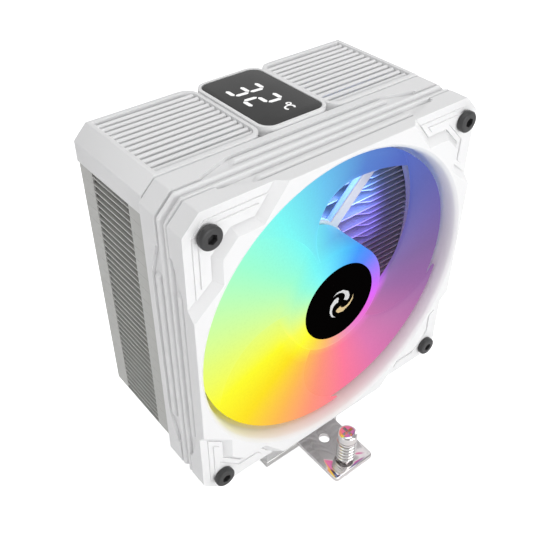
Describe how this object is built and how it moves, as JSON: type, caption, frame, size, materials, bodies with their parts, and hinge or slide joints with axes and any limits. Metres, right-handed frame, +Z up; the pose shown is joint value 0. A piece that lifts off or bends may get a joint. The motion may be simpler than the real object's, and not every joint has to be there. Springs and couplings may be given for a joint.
{
  "type": "cpu tower cooler",
  "caption": "White single-tower processor cooler with a lit 120 mm fan, louvred top cover, small temperature display and a sprung mounting bar.",
  "frame": {"origin": "centre of the cold plate's contact face", "axes": "+Z up from the processor through the fins, +Y from the fan side to the back, +X to the right seen from the fan"},
  "size_m": [0.12, 0.1026, 0.1541],
  "materials": {
    "polished_copper": "nickel plated, polished contact face",
    "white_aluminium": "white powder coat, satin",
    "white_pipe": "white paint over copper, semi-gloss",
    "nickel_steel": "bright nickel plate",
    "spring_steel": "plain spring steel",
    "white_plastic": "fine satin",
    "clear_white_plastic": "translucent, lit from inside",
    "black_plastic": "fine matte",
    "rotor_steel": "drawn steel",
    "magnet": "bonded ferrite, matte",
    "bronze": "sintered, oiled",
    "copper_winding": "enamelled copper",
    "green_board": "solder mask",
    "black_steel": "black oxide, satin",
    "dark_glass": "dark tinted, glossy"
  },
  "bodies": {
    "tower": {"bar_screw_front": "nickel_steel", "bar_screw_rear": "nickel_steel", "base_block": "white_aluminium", "cold_plate": "polished_copper", "display_bezel": "white_plastic", "display_board": "green_board", "display_glass": "dark_glass", "fan_board": "green_board", "fan_bolt_bottom_left": "black_steel", "fan_bolt_bottom_right": "black_steel", "fan_bolt_top_left": "black_steel", "fan_bolt_top_right": "black_steel", "fan_bracket": "white_plastic", "fan_frame": "white_plastic", "fin_pair_01": "white_aluminium", "fin_pair_02": "white_aluminium", "fin_pair_03": "white_aluminium", "fin_pair_04": "white_aluminium", "fin_pair_05": "white_aluminium", "fin_pair_06": "white_aluminium", "fin_pair_07": "white_aluminium", "fin_pair_08": "white_aluminium", "fin_pair_09": "white_aluminium", "fin_pair_10": "white_aluminium", "fin_pair_11": "white_aluminium", "fin_pair_12": "white_aluminium", "fin_pair_13": "white_aluminium", "fin_pair_14": "white_aluminium", "fin_pair_15": "white_aluminium", "fin_pair_16": "white_aluminium", "fin_pair_17": "white_aluminium", "fin_pair_18": "white_aluminium", "fin_pair_19": "white_aluminium", "grille_left": "white_plastic", "grille_right": "white_plastic", "heat_pipe_1": "white_pipe", "heat_pipe_2": "white_pipe", "heat_pipe_3": "white_pipe", "heat_pipe_4": "white_pipe", "mounting_bar": "nickel_steel", "screw_spring_front": "nickel_steel", "screw_spring_rear": "nickel_steel", "sleeve_bearing": "bronze", "stator": "copper_winding", "top_cover": "white_plastic"},
    "rotor": {"impeller": "clear_white_plastic", "hub_badge": "black_plastic", "rotor_yoke": "rotor_steel", "magnet_ring": "magnet", "rotor_shaft": "spring_steel", "shaft_clip": "black_plastic"},
    "front_slider": {"screw_washer_front": "nickel_steel"},
    "front_screw": {"spring_screw_front": "nickel_steel", "retaining_clip_front": "spring_steel"},
    "rear_slider": {"screw_washer_rear": "nickel_steel"},
    "rear_screw": {"spring_screw_rear": "nickel_steel", "retaining_clip_rear": "spring_steel"}
  },
  "joints": [
    {"name": "fan_spin", "type": "hinge", "parent": "tower", "child": "rotor", "pos_m": [0, 0, 0.0932], "axis": [0, 1, 0], "continuous": true},
    {"name": "front_screw_travel", "type": "slide", "parent": "tower", "child": "front_slider", "axis": [0, 0, -1], "range_m": [0, 0.0045], "stiffness_N_per_m": 3000, "springref_m": -0.001, "deforming": ["screw_spring_front"]},
    {"name": "front_screw_turn", "type": "hinge", "parent": "front_slider", "child": "front_screw", "pos_m": [0, -0.0455, 0.0175], "axis": [0, 0, 1], "continuous": true},
    {"name": "rear_screw_travel", "type": "slide", "parent": "tower", "child": "rear_slider", "axis": [0, 0, -1], "range_m": [0, 0.0045], "stiffness_N_per_m": 3000, "springref_m": -0.001, "deforming": ["screw_spring_rear"]},
    {"name": "rear_screw_turn", "type": "hinge", "parent": "rear_slider", "child": "rear_screw", "pos_m": [0, 0.0455, 0.0175], "axis": [0, 0, 1], "continuous": true}
  ]
}
